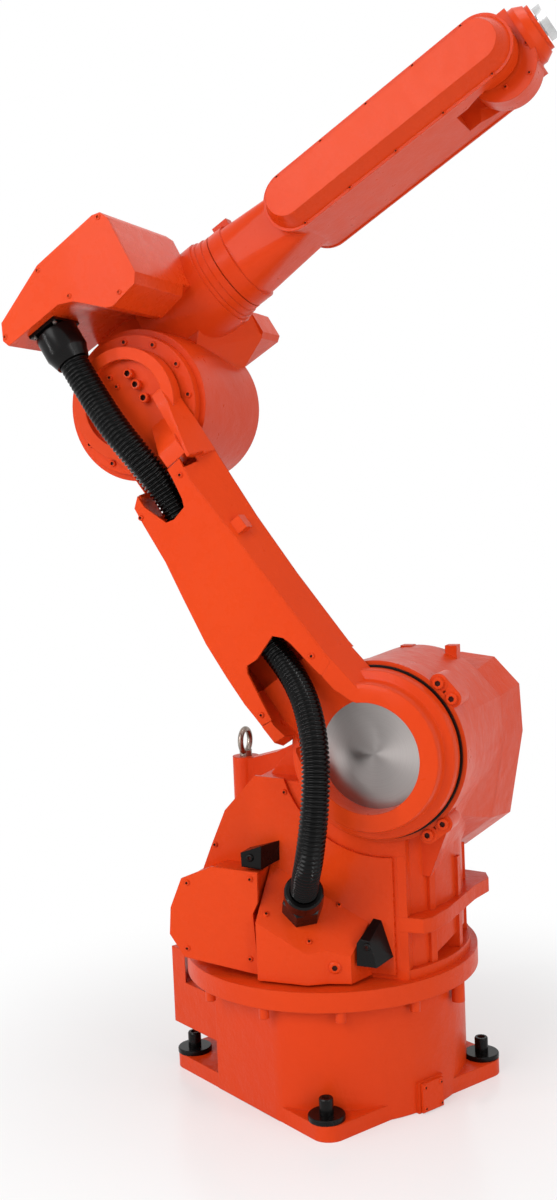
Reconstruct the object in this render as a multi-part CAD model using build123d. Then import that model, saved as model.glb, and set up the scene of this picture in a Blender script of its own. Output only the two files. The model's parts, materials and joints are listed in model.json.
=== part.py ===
from build123d import *
from math import sin, cos, tan, radians, degrees, atan2, hypot, pi
import os

# Six axis industrial robot arm, millimetres.
# Row frame: X to the front of the base, Z up, origin on the first axis at floor level.
# Arm frame: (u, v, w), u forward, v up, w to the side that carries the hoses.

# Posture of the photographed arm
swing_yaw = 29.5
arm_lean = 35.6
forearm_rise = 30.6

# Main joint positions
shoulder_x = 165.0
shoulder_z = 648.0
arm_length = 765.0
elbow_offset = 144.0
wrist_reach = 834.0
flange_reach = 944.0

# Base
foot_length = 470.0
foot_width = 440.0
foot_thick = 28.0
foot_corner_r = 34.0
foot_bolt_dx = 400.0
foot_bolt_dy = 380.0
foot_hole_d = 24.0
body_r = 248.0
body_flat = 222.0
body_top = 203.0
box_x0 = -215.0
box_x1 = -60.0
box_half_w = 225.0
box_z0 = 92.0
box_z1 = 245.0
box_clear_r = 284.0
box_low_top = 168.0
access_w = 50.0
access_h = 56.0
access_thick = 5.0
access_y = 6.0

# Turntable
rim_r = 275.0
rim_z0 = 211.0
rim_z1 = 247.0
joint_gap = 6.0
rim_boss_r = 8.0
rim_boss_ring = 262.0
stop_boss_r = 12.0
stop_boss_ring = 266.0
stop_boss_drop = 36.0

# Shoulder
shoulder_front_w = 172.0
shoulder_flange_r = 172.0
shoulder_flange_back_w = 118.0
shoulder_drum_r = 160.0
shoulder_back_w = -62.0
motor_cover_back_w = -215.0
lug_ring_r = 164.0

# Lower arm
arm_front_w = 238.0
arm_back_w = 130.0
hub_r = 147.0
hub_face_r = 118.0
hub_bore_r = 95.0
elbow_boss_r = 101.0
arm_wall = 14.0
hub_disc_thick = 12.0
arm_cover_thick = 6.0

# Elbow
elbow_flange_w = 168.0
elbow_flange_r = 126.0
elbow_drum_r = 138.0
elbow_drum_front_w = 150.0
elbow_drum_back_w = -90.0
elbow_box_front_w = 294.0
elbow_box_back_w = 55.0
elbow_plate_thick = 6.0
neck_r = 87.0
neck_end = 212.0
wrist_ring_end = 244.0

# Forearm
forearm_ring_r = 78.0
forearm_start = 250.0
cover_c0 = 430.0
cover_c1 = 834.0
cover_rim_r = 53.5
cover_front_w = 125.0
cover_face_w = 167.0
cover_face_r = 33.0
cover_back_w = -55.0
back_face_w = -92.0
fork_inner_w = 50.0
fork_back_w = -46.0
wrist_r = 44.0
flange_r = 31.5
flange_pcd = 50.0
flange_hole_d = 6.0
flange_bore_d = 31.5
flange_thick = 14.0

# Bearing seats, spigot radius and running clearance
bearing_clear = 0.05
swing_spigot_r = 120.0
shoulder_spigot_r = 70.0
elbow_spigot_r = 60.0
forearm_spigot_r = 55.0
wrist_pin_r = 20.0
tool_spigot_r = 20.0
spigot_depth = 26.0

# Hoses
lower_hose_d = 48.0
upper_hose_d = 54.0

os.makedirs("parts", exist_ok=True)
yaw = Location((0, 0, 0), (0, 0, swing_yaw))
arm_angle = 90.0 + arm_lean
elbow_x = shoulder_x + arm_length * cos(radians(arm_angle))
elbow_z = shoulder_z + arm_length * sin(radians(arm_angle))


def side(x, z, angle):
    """Local frame in the plane of the arm: u at the angle, v square to it, w to the hose side."""
    direction = (cos(radians(angle)), 0, sin(radians(angle)))
    return yaw * Plane(origin=(x, 0, z), x_dir=direction, z_dir=(0, -1, 0)).location


column_frame = side(0, 0, 0)
# u across the lower arm, v along it to the elbow
arm_frame = side(shoulder_x, shoulder_z, arm_angle - 90.0)
forearm_x = elbow_x - elbow_offset * sin(radians(forearm_rise))
forearm_z = elbow_z + elbow_offset * cos(radians(forearm_rise))
forearm_frame = side(forearm_x, forearm_z, forearm_rise)


def write(name, shape):
    shape.label = name
    export_step(shape, "parts/" + name + ".step")
    print(name, round(shape.volume / 1e6, 3), "litres", len(shape.solids()))


def prism(points, w0, w1):
    """Closed outline pulled from one side plane to another."""
    face = make_face(Polyline(*points, close=True))
    return Location((0, 0, w0)) * extrude(face, w1 - w0)


def drum(u, v, r, w0, w1):
    return Location((u, v, (w0 + w1) / 2)) * Cylinder(r, w1 - w0)


def stadium(u0, u1, r, w0, w1):
    sketch = Location(((u0 + u1) / 2, 0)) * SlotCenterToCenter(u1 - u0, 2 * r)
    return Location((0, 0, w0)) * extrude(sketch, w1 - w0)


def block(u0, u1, v0, v1, w0, w1):
    centre = ((u0 + u1) / 2, (v0 + v1) / 2, (w0 + w1) / 2)
    return Location(centre) * Box(u1 - u0, v1 - v0, w1 - w0)


# Base casting
foot = extrude(RectangleRounded(foot_length, foot_width, foot_corner_r), foot_thick)
body_plan = Circle(body_r) & Rectangle(3 * body_r, 2 * body_flat)
body = Location((0, 0, 0)) * extrude(body_plan, body_top)
rear_plan = Location(((box_x0 + box_x1) / 2, 0)) * Rectangle(box_x1 - box_x0, 2 * box_half_w)
rear = Location((0, 0, box_z0)) * extrude(rear_plan, box_z1 - box_z0)
rear -= Location((0, 0, (box_low_top + 400) / 2)) * Cylinder(box_clear_r, 400 - box_low_top)
base = foot + body + rear
pad = Location((body_r - 9, access_y, access_h / 2)) * Box(30, access_w + 10, access_h)
base += pad
access_face_x = body_r + 6
for sx in (-1, 1):
    for sy in (-1, 1):
        spot = Location((sx * foot_bolt_dx / 2, sy * foot_bolt_dy / 2, foot_thick / 2))
        base -= spot * Cylinder(foot_hole_d / 2, foot_thick + 2)
pocket_depth = spigot_depth - (rim_z0 - body_top) + 2
pocket = Cylinder(swing_spigot_r + bearing_clear, 2 * pocket_depth)
base -= Location((0, 0, body_top)) * pocket
write("base_casting", base)

access = Location((access_face_x + access_thick / 2, access_y, access_h / 2))
access = access * Box(access_thick, access_w, access_h - 4)
write("base_access_plate", access)

# Turntable
rim = Location((0, 0, (rim_z0 + rim_z1) / 2)) * Cylinder(rim_r, rim_z1 - rim_z0)
stop_spot = Location((0, 0, 0), (0, 0, 4)) * Location((stop_boss_ring, 0, rim_z0 - stop_boss_drop / 2))
rim += stop_spot * Cylinder(stop_boss_r, stop_boss_drop)
rim += Location((0, 0, rim_z0 - spigot_depth / 2)) * Cylinder(swing_spigot_r, spigot_depth)
write("turntable", yaw * rim)

# Rear motor cover outline, an octagon
octagon = [(60, 730), (110, 795), (250, 798), (308, 780), (352, 732), (352, 632), (330, 495), (250, 428),
           (110, 428), (60, 500)]

# Column casting
column_points = [(-215, rim_z1), (265, rim_z1), (272, 300), (268, 450), (250, 520), (-150, 520),
                 (-185, 415), (-215, 350)]
column = prism(column_points, -185, 165)
column &= Location((20, 380, 0), (90, 0, 0)) * Cylinder(262, 400)
column -= drum(shoulder_x, shoulder_z, shoulder_drum_r, -400, 400)
shoulder = drum(shoulder_x, shoulder_z, shoulder_drum_r, shoulder_back_w, shoulder_flange_back_w)
web = prism([(-120, 420), (250, 420), (shoulder_x + 150, shoulder_z), (shoulder_x - 140, shoulder_z + 60),
             (-60, 590)], -60, 118)
column = column + shoulder + web
left_box = prism([(-193, 278), (-217, 315), (-215, 363), (-190, 419), (-133, 440), (-46, 436), (-46, 262)],
                 100, 229)
column += left_box
eye_boss = Location((-176, 552, -30), (90, 0, 0)) * Cylinder(26, 80)
column += eye_boss + block(-170, -100, 430, 560, -60, 0)
column -= drum(shoulder_x, shoulder_z, shoulder_flange_r, shoulder_flange_back_w, 400)
column -= prism(octagon, -400, shoulder_back_w)
write("column_casting", column_frame * column)

# Shoulder flange with lugs
flange = drum(shoulder_x, shoulder_z, shoulder_flange_r, shoulder_flange_back_w, shoulder_front_w)
seat_w = shoulder_front_w + joint_gap - spigot_depth
flange -= drum(shoulder_x, shoulder_z, shoulder_spigot_r + bearing_clear, seat_w - 2, shoulder_front_w + 10)
write("shoulder_flange", column_frame * flange)

# Rear motor cover, an octagon
write("shoulder_motor_cover", column_frame * prism(octagon, motor_cover_back_w, shoulder_back_w))

# Plates on the column
left_plate = prism([(-193, 272), (-221, 312), (-219, 366), (-193, 421), (-135, 443), (-44, 438), (-44, 258)],
                   229, 235)
write("left_cover_plate", column_frame * left_plate)

upper_plate = prism([(-175, 425), (-165, 465), (-133, 532), (-70, 597), (10, 590), (20, 440), (-40, 430)],
                    165, 171)
upper_plate -= prism([(-193, 278), (-217, 315), (-215, 363), (-190, 419), (-133, 440), (-46, 436), (-46, 262)],
                     100, 400)
upper_plate -= drum(shoulder_x, shoulder_z, shoulder_flange_r, 0, 400)

# Pedestal of the lower hose
pedestal = prism([(-44, 252), (141, 252), (141, 354), (57, 405), (-44, 446)], 165, 262)
slope = Location((-44, 446, 165)) * Rot(0, 0, -27) * Rot(47, 0, 0)
pedestal -= slope * Location((0, 200, 0)) * Box(900, 400, 900)
upper_plate -= pedestal
write("upper_cover_plate", column_frame * upper_plate)
write("hose_pedestal", column_frame * pedestal)

# Guards
write("left_guard_bracket", column_frame * block(-91, -12, 445, 485, 171, 205))
write("right_guard_bracket", column_frame * block(146, 196, 280, 370, 165, 215))

# Lifting eye
eye = Location((-176, 622, -30), (0, 90, 0)) * Torus(22, 5.5)
eye += Location((-176, 598, -30), (90, 0, 0)) * Cylinder(12, 12)
write("lifting_eye", column_frame * eye)

# Lower arm, u across, v along
outline = [(-120, 113), (-125, 197), (-124, 253), (-120, 323), (-106, 413), (-94, 483), (-88, 560), (-66, 607),
           (-60, 700), (60, 765), (69, 674), (60, 470), (56, 334), (60, 242), (90, 120)]
arm = prism(outline, arm_back_w, arm_front_w)
arm += drum(0, arm_length, elbow_boss_r, elbow_flange_w + joint_gap, arm_front_w)
arm -= drum(0, 0, shoulder_flange_r + 8, 0, shoulder_front_w + joint_gap)
arm -= drum(0, arm_length, elbow_drum_r + 8, 0, elbow_flange_w + joint_gap)
arm += drum(0, 0, hub_r, shoulder_front_w + joint_gap, arm_front_w)
arm -= drum(0, 0, hub_bore_r, 0, 400)
elbow_seat_w = elbow_flange_w + joint_gap - spigot_depth
arm += drum(0, arm_length, elbow_spigot_r, elbow_seat_w, elbow_flange_w + joint_gap)
write("lower_arm", arm_frame * arm)

disc = drum(0, 0, hub_bore_r, shoulder_front_w + joint_gap, shoulder_front_w + joint_gap + hub_disc_thick)
disc += drum(0, 0, shoulder_spigot_r, seat_w, shoulder_front_w + joint_gap)
write("hub_disc", arm_frame * disc)

# Elbow, frame at the forearm line
jx = 0.0
jy = -elbow_offset
elbow = drum(jx, jy, elbow_drum_r, elbow_drum_back_w, elbow_drum_front_w)
elbow += drum(jx, jy, elbow_flange_r, elbow_drum_front_w, elbow_flange_w)
elbow += prism([(-60, -60), (-40, 60), (150, 80), (150, -95), (110, -150), (60, -200)], -95, 55)
neck = Location((neck_end / 2 + 40, 0, 0), (0, 90, 0)) * Cylinder(neck_r, neck_end - 80)
elbow += neck
elbow -= drum(jx, jy, elbow_spigot_r + bearing_clear, elbow_seat_w - 2, elbow_flange_w + 10)
write("elbow_housing", forearm_frame * elbow)

box_outline = [(191, 100), (184, 116), (169, 121), (34, 117), (-82, 78), (-97, 50), (-92, 36), (30, 36),
               (59, 22), (85, -4), (104, -24), (117, -30), (172, -23), (184, -7)]
cable_box = prism(box_outline, elbow_box_back_w, elbow_box_front_w) - elbow
write("elbow_cable_box", forearm_frame * cable_box)
box_plate = prism(box_outline, elbow_box_front_w, elbow_box_front_w + elbow_plate_thick)
write("elbow_cover_plate", forearm_frame * box_plate)

motor = block(107, 246, -142, -60, -200, -95)
write("elbow_motor_cover", forearm_frame * motor)

ring = Cylinder(80, wrist_ring_end - neck_end) - Cylinder(forearm_spigot_r + bearing_clear, 60)
ring = Location(((neck_end + wrist_ring_end) / 2, 0, 0), (0, 90, 0)) * ring
write("neck_ring", forearm_frame * ring)

# Forearm
tube = Location(((forearm_start + 420) / 2, 0, 0), (0, 90, 0)) * Cone(forearm_ring_r, 50, 420 - forearm_start)
web = stadium(cover_c0, cover_c1, cover_rim_r - 2, cover_back_w, cover_front_w)
web -= block(750, 950, -100, 100, fork_back_w, fork_inner_w)
spigot = Location((forearm_start - spigot_depth / 2, 0, 0), (0, 90, 0))
tube += spigot * Cylinder(forearm_spigot_r, spigot_depth)
forearm = tube + web
forearm -= drum(cover_c1, 0, wrist_pin_r + bearing_clear, fork_back_w - 5, fork_inner_w + 16)
forearm -= stadium(cover_c0, cover_c1, cover_rim_r, cover_front_w, 400)
forearm -= stadium(cover_c0, cover_c1, cover_rim_r, -400, cover_back_w)
write("forearm", forearm_frame * forearm)
front_cover = stadium(cover_c0, cover_c1, cover_rim_r, cover_front_w, cover_face_w)
write("front_belt_cover", forearm_frame * front_cover)
back_cover = stadium(cover_c0, cover_c1, cover_rim_r, back_face_w, cover_back_w)
write("back_belt_cover", forearm_frame * back_cover)

wrist = drum(cover_c1, 0, wrist_r, fork_back_w + 6, fork_inner_w - 6)
nose = flange_reach - flange_thick - joint_gap - wrist_reach
wrist += Location((wrist_reach + nose / 2, 0, 0), (0, 90, 0)) * Cylinder(wrist_r, nose)
wrist += drum(cover_c1, 0, wrist_pin_r, fork_back_w - 4, fork_inner_w + 14)
tool_seat = flange_reach - flange_thick
wrist -= Location((tool_seat, 0, 0), (0, 90, 0)) * Cylinder(tool_spigot_r + bearing_clear, 2 * spigot_depth + 4)
write("wrist_housing", forearm_frame * wrist)
tool = Cylinder(flange_r, flange_thick)
tool -= Location((0, 0, flange_thick / 2)) * Cylinder(flange_bore_d / 2, 12)
for angle in range(4):
    hole = Rot(0, 0, 45 + 90 * angle) * Location((flange_pcd / 2, 0, 0))
    tool -= hole * Cylinder(flange_hole_d / 2, flange_thick + 2)
tool += Location((0, 0, -(flange_thick + spigot_depth) / 2)) * Cylinder(tool_spigot_r, spigot_depth)
tool = Location((flange_reach - flange_thick / 2, 0, 0), (0, 90, 0)) * tool
write("tool_flange", forearm_frame * tool)
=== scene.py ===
import json
from math import cos, pi, radians, sin

import bmesh
import bpy
from mathutils import Matrix, Vector


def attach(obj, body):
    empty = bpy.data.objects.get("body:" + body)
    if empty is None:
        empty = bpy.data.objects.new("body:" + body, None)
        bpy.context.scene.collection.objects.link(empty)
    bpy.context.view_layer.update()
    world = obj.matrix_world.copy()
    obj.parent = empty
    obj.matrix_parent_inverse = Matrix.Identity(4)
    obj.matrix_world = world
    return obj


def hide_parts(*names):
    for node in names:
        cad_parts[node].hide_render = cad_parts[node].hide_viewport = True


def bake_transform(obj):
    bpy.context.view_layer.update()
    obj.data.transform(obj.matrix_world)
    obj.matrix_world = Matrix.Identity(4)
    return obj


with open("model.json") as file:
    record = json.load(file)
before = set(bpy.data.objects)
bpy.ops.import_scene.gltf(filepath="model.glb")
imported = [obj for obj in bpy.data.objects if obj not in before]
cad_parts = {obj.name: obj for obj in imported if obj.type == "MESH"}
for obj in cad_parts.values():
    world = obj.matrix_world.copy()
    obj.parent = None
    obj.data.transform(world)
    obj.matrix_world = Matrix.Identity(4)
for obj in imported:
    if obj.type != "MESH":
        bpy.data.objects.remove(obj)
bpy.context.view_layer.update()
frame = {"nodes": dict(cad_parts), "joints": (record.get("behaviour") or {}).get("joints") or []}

# Lengths in metres and angles used by the helpers
STEEL_EDGE = 0.001
MERGE_DISTANCE = 0.00002
SHARP_ANGLE = radians(32)
RIB_SHARP_ANGLE = radians(75)

# Local frames are in millimetres and turn into row metres through a matrix
MM = 0.001
joints = {joint["name"]: joint for joint in frame["joints"]}
UP = Vector((0, 0, 1))


def axes(origin, across, upward, outward):
    """Matrix that takes local millimetres along three directions to row metres."""
    columns = [across * MM, upward * MM, outward * MM, origin]
    matrix = Matrix.Identity(4)
    for index, column in enumerate(columns):
        for line in range(3):
            matrix[line][index] = column[line]
    return matrix


OUT = -Vector(joints["j2_lower_arm"]["axis"])
FORWARD = UP.cross(OUT)
COLUMN = axes(Vector((0, 0, 0)), FORWARD, UP, OUT)
shoulder = Vector(joints["j2_lower_arm"]["pos_m"])
shoulder -= OUT * shoulder.dot(OUT)
elbow = Vector(joints["j3_elbow"]["pos_m"])
elbow -= OUT * elbow.dot(OUT)
ALONG = (elbow - shoulder).normalized()
LOWER_ARM = axes(shoulder, ALONG.cross(OUT), ALONG, OUT)
REACH = Vector(joints["j4_forearm_roll"]["axis"])
RISE = OUT.cross(REACH)
ROLL_START = 0.25  # metres from the forearm frame's origin to the roll joint
FOREARM = axes(Vector(joints["j4_forearm_roll"]["pos_m"]) - REACH * ROLL_START, REACH, RISE, OUT)
ROW = axes(Vector((0, 0, 0)), Vector((1, 0, 0)), Vector((0, 1, 0)), UP)

# Sizes shared with the CAD source, millimetres
lower_hose_d = 48.0
upper_hose_d = 54.0
arm_length = 765.0
arm_front_w = 238.0
foot_top = 28.0
foot_dx = 200.0
foot_dy = 190.0
feet = [(x * foot_dx, y * foot_dy, foot_top) for x in (-1, 1) for y in (-1, 1)]


# Materials
def new_material(name):
    """Empty node material with a Principled shader."""
    material = bpy.data.materials.new(name)
    material.use_nodes = True
    nodes = material.node_tree.nodes
    return material, nodes, material.node_tree.links, nodes["Principled BSDF"]


def noise_node(nodes, links, coordinates, scale, detail=3.0, rough=0.5):
    """Noise in object space, its scale in cells a metre."""
    noise = nodes.new("ShaderNodeTexNoise")
    noise.inputs["Scale"].default_value = scale
    noise.inputs["Detail"].default_value = detail
    noise.inputs["Roughness"].default_value = rough
    links.new(coordinates.outputs["Object"], noise.inputs["Vector"])
    return noise


def ramp_node(nodes, links, value, low, high, low_value, high_value):
    """Maps a range of a value to another range."""
    ramp = nodes.new("ShaderNodeMapRange")
    ramp.inputs["From Min"].default_value = low
    ramp.inputs["From Max"].default_value = high
    ramp.inputs["To Min"].default_value = low_value
    ramp.inputs["To Max"].default_value = high_value
    links.new(value, ramp.inputs["Value"])
    return ramp


def bump_chain(nodes, links, shader, layers, edge):
    """Bump layers (height output, strength, depth in metres) over softened edges."""
    normal = None
    if edge:
        bevel = nodes.new("ShaderNodeBevel")
        bevel.samples = 4
        bevel.inputs["Radius"].default_value = edge
        normal = bevel.outputs["Normal"]
    for height, strength, depth in layers:
        bump = nodes.new("ShaderNodeBump")
        bump.inputs["Strength"].default_value = strength
        bump.inputs["Distance"].default_value = depth
        links.new(height, bump.inputs["Height"])
        if normal:
            links.new(normal, bump.inputs["Normal"])
        normal = bump.outputs["Normal"]
    if normal:
        links.new(normal, shader.inputs["Normal"])


def paint(name, colour, deep, roughness, cast, edge=0.0025):
    """Glossy enamel, its colour drifting a little, over a smooth plate or a rough casting."""
    material, nodes, links, shader = new_material(name)
    coordinates = nodes.new("ShaderNodeTexCoord")
    drift = noise_node(nodes, links, coordinates, 3.0, 2.0)
    grime = noise_node(nodes, links, coordinates, 38.0, 6.0, 0.65)
    mix = nodes.new("ShaderNodeMix")
    mix.data_type = "RGBA"
    mix.inputs["A"].default_value = (*colour, 1)
    mix.inputs["B"].default_value = (*deep, 1)
    blend = ramp_node(nodes, links, drift.outputs["Fac"], 0.35, 0.75, 0.0, 0.55)
    links.new(blend.outputs["Result"], mix.inputs["Factor"])
    links.new(mix.outputs["Result"], shader.inputs["Base Color"])
    rough = ramp_node(nodes, links, grime.outputs["Fac"], 0.3, 0.75, roughness, roughness + 0.14)
    links.new(rough.outputs["Result"], shader.inputs["Roughness"])
    shader.inputs["Specular IOR Level"].default_value = 0.10
    shader.inputs["Coat Weight"].default_value = 0.04
    shader.inputs["Coat Roughness"].default_value = 0.06
    peel = noise_node(nodes, links, coordinates, 420.0, 2.0)
    layers = [(peel.outputs["Fac"], 0.10, 0.0004)]
    if cast:
        lumps = noise_node(nodes, links, coordinates, 26.0, 3.0)
        grains = noise_node(nodes, links, coordinates, 140.0, 5.0, 0.7)
        layers += [(lumps.outputs["Fac"], 0.35, 0.0035 * cast),
                   (grains.outputs["Fac"], 0.30, 0.0012 * cast)]
    bump_chain(nodes, links, shader, layers, edge)
    return material


def plastic(name, colour, roughness, grain, edge=0.0012, specular=0.16):
    """Moulded or coated black with a fine grain."""
    material, nodes, links, shader = new_material(name)
    coordinates = nodes.new("ShaderNodeTexCoord")
    speck = noise_node(nodes, links, coordinates, 600.0, 3.0)
    haze = noise_node(nodes, links, coordinates, 14.0, 4.0)
    shader.inputs["Base Color"].default_value = (*colour, 1)
    rough = ramp_node(nodes, links, haze.outputs["Fac"], 0.3, 0.7, roughness, roughness + 0.12)
    links.new(rough.outputs["Result"], shader.inputs["Roughness"])
    shader.inputs["Specular IOR Level"].default_value = specular
    bump_chain(nodes, links, shader, [(speck.outputs["Fac"], grain, 0.0003)], edge)
    return material


def metal(name, light, dark, roughness, scratch_scale):
    """Bare steel whose brightness and gloss vary with a noise."""
    material, nodes, links, shader = new_material(name)
    coordinates = nodes.new("ShaderNodeTexCoord")
    noise = noise_node(nodes, links, coordinates, scratch_scale, 6.0)
    mix = nodes.new("ShaderNodeMix")
    mix.data_type = "RGBA"
    mix.inputs["A"].default_value = (*dark, 1)
    mix.inputs["B"].default_value = (*light, 1)
    blend = ramp_node(nodes, links, noise.outputs["Fac"], 0.3, 0.7, 0.0, 1.0)
    links.new(blend.outputs["Result"], mix.inputs["Factor"])
    links.new(mix.outputs["Result"], shader.inputs["Base Color"])
    rough = ramp_node(nodes, links, noise.outputs["Fac"], 0.3, 0.7, roughness, roughness + 0.15)
    links.new(rough.outputs["Result"], shader.inputs["Roughness"])
    shader.inputs["Metallic"].default_value = 1.0
    bump_chain(nodes, links, shader, [(noise.outputs["Fac"], 0.08, 0.0003)], STEEL_EDGE)
    return material


def turned_steel(name, light, dark, roughness, centre, axis):
    """Lathe turned steel: fine rings round an axis, gloss stretched along them."""
    material, nodes, links, shader = new_material(name)
    coordinates = nodes.new("ShaderNodeTexCoord")
    away = nodes.new("ShaderNodeVectorMath")
    away.operation = "SUBTRACT"
    links.new(coordinates.outputs["Object"], away.inputs[0])
    away.inputs[1].default_value = centre
    around = nodes.new("ShaderNodeVectorMath")
    around.operation = "CROSS_PRODUCT"
    around.inputs[0].default_value = axis
    links.new(away.outputs["Vector"], around.inputs[1])
    turned = nodes.new("ShaderNodeVectorTransform")
    turned.vector_type = "VECTOR"
    turned.convert_from = "OBJECT"
    turned.convert_to = "WORLD"
    links.new(around.outputs["Vector"], turned.inputs["Vector"])
    links.new(turned.outputs["Vector"], shader.inputs["Tangent"])
    distance = nodes.new("ShaderNodeVectorMath")
    distance.operation = "LENGTH"
    links.new(around.outputs["Vector"], distance.inputs[0])
    rings = nodes.new("ShaderNodeTexNoise")
    rings.noise_dimensions = "1D"
    rings.inputs["Scale"].default_value = 700.0
    rings.inputs["Detail"].default_value = 3.0
    links.new(distance.outputs["Value"], rings.inputs["W"])
    mix = nodes.new("ShaderNodeMix")
    mix.data_type = "RGBA"
    mix.inputs["A"].default_value = (*dark, 1)
    mix.inputs["B"].default_value = (*light, 1)
    links.new(rings.outputs["Fac"], mix.inputs["Factor"])
    links.new(mix.outputs["Result"], shader.inputs["Base Color"])
    shader.inputs["Metallic"].default_value = 1.0
    shader.inputs["Roughness"].default_value = roughness
    shader.inputs["Anisotropic"].default_value = 0.75
    bump_chain(nodes, links, shader, [(rings.outputs["Fac"], 0.12, 0.0001)], 0.0)
    return material


orange = (0.67, 0.053, 0.0065)
deep_orange = (0.61, 0.038, 0.005)
cast_paint = paint("cast_paint", orange, deep_orange, 0.26, 1.0)
rough_cast_paint = paint("rough_cast_paint", orange, deep_orange, 0.30, 2.2)
plate_paint = paint("plate_paint", orange, deep_orange, 0.22, 0.0, 0.0016)
hose_black = plastic("hose_black", (0.002, 0.002, 0.002), 0.10, 0.04, 0.0, 0.13)
gland_black = plastic("gland_black", (0.003, 0.0025, 0.0025), 0.16, 0.10, 0.0012, 0.16)
steel_black = plastic("steel_black", (0.003, 0.0025, 0.0025), 0.18, 0.12)
# Dark red-brown for the deep faces of the screw sockets: painted shade, standing in for the shadow inside
# the socket
socket_painted_shade = plastic("socket_painted_shade", (0.045, 0.006, 0.003), 0.5, 0.1, 0.0)
disc_steel = turned_steel("disc_steel", (0.40, 0.37, 0.36), (0.32, 0.29, 0.28), 0.34, shoulder, OUT)
eye_steel = metal("eye_steel", (0.42, 0.36, 0.31), (0.16, 0.12, 0.10), 0.28, 60.0)
flange_steel = metal("flange_steel", (0.72, 0.72, 0.72), (0.5, 0.5, 0.5), 0.2, 40.0)
screw_steel = metal("screw_steel", (0.30, 0.28, 0.26), (0.12, 0.11, 0.10), 0.3, 90.0)

# Materials of the CAD nodes
PLATES = ("elbow_cover_plate", "base_access_plate")
SPECIAL = {"lifting_eye": eye_steel, "hub_disc": disc_steel, "tool_flange": flange_steel}
for node_name, node in frame["nodes"].items():
    look = cast_paint
    if node_name in PLATES:
        look = plate_paint
    look = SPECIAL.get(node_name, look)
    for material_slot in node.material_slots:
        material_slot.material = look


# Helpers for meshes
def make_piece(name, mesh_data, material, body, extra=()):
    """Turns a bmesh in row metres into a smooth piece that rides on a body."""
    mesh = bpy.data.meshes.new(name)
    bmesh.ops.recalc_face_normals(mesh_data, faces=mesh_data.faces)
    mesh_data.to_mesh(mesh)
    mesh_data.free()
    for one in (material, *extra):
        mesh.materials.append(one)
    mesh.polygons.foreach_set("use_smooth", [True] * len(mesh.polygons))
    mesh.set_sharp_from_angle(angle=SHARP_ANGLE)
    piece = bpy.data.objects.new(name, mesh)
    bpy.context.scene.collection.objects.link(piece)
    if body:
        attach(piece, body)
    return piece


SIDES = 24


def ring_point(radius, height, angle, shape):
    """Point of a round ring, or of a hexagon whose half width is radius."""
    if shape == "hex":
        radius = radius / cos((angle + pi / 6) % (pi / 3) - pi / 6)
    return Vector((radius * cos(angle), radius * sin(angle), height))


def turned_solid(mesh, place, profile, sides=SIDES):
    """Adds a solid of rings (radius, height, shape, material) placed by a matrix."""
    rings = []
    for radius, height, shape, look in profile:
        if radius <= 0:
            rings.append(([mesh.verts.new(place @ Vector((0, 0, height)))], look))
            continue
        points = [ring_point(radius, height, 2 * pi * k / sides, shape) for k in range(sides)]
        rings.append(([mesh.verts.new(place @ point) for point in points], look))
    for (low, _), (high, look) in zip(rings, rings[1:]):
        for k in range(sides):
            n = (k + 1) % sides
            if len(high) == 1:
                corners = [low[k], low[n], high[0]]
            elif len(low) == 1:
                corners = [low[0], high[n], high[k]]
            else:
                corners = [low[k], low[n], high[n], high[k]]
            mesh.faces.new(corners).material_index = look
    mesh.faces.new(list(reversed(rings[0][0])))


def cap_head(radius, height, key):
    """Socket cap screw: plain round head with a hexagonal socket, its deep faces (material 1) in painted
    shade.
    """
    edge = radius * 0.12
    return [(radius, -1, "round", 0), (radius, height - edge, "round", 0),
            (radius - edge, height, "round", 0), (key * 1.12, height, "round", 0),
            (key, height - 0.3, "hex", 0), (key, height * 0.45, "hex", 1),
            (0, height * 0.4, "round", 1)]


def button_head(radius, height, key):
    """Low round head with a hexagonal socket, its deep faces (material 1) in painted shade."""
    return [(radius, -1, "round", 0), (radius, height * 0.3, "round", 0),
            (radius * 0.86, height * 0.75, "round", 0), (radius * 0.62, height, "round", 0),
            (key * 1.1, height, "round", 0), (key, height - 0.2, "hex", 0),
            (key, height * 0.3, "hex", 1), (0, height * 0.25, "round", 1)]


def placed(base, point, direction=(0, 0, 1), turn=0.0):
    """Matrix of a fastener at a local point, its axis along a local direction."""
    tilt = Vector(direction).normalized().to_track_quat("Z", "Y").to_matrix().to_4x4()
    return base @ Matrix.Translation(Vector(point)) @ tilt @ Matrix.Rotation(turn, 4, "Z")


def fasteners(name, base, body, spots, profile, material=None):
    """One piece with the same fastener at each spot: (point) or (point, direction)."""
    mesh = bmesh.new()
    for number, spot in enumerate(spots):
        point, direction = spot if len(spot) == 2 else (spot, (0, 0, 1))
        turned_solid(mesh, placed(base, point, direction, 0.7 * number), profile)
    # Second slot: painted shade on the deep socket faces (material 1)
    return make_piece(name, mesh, material or plate_paint, body, (socket_painted_shade,))


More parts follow.
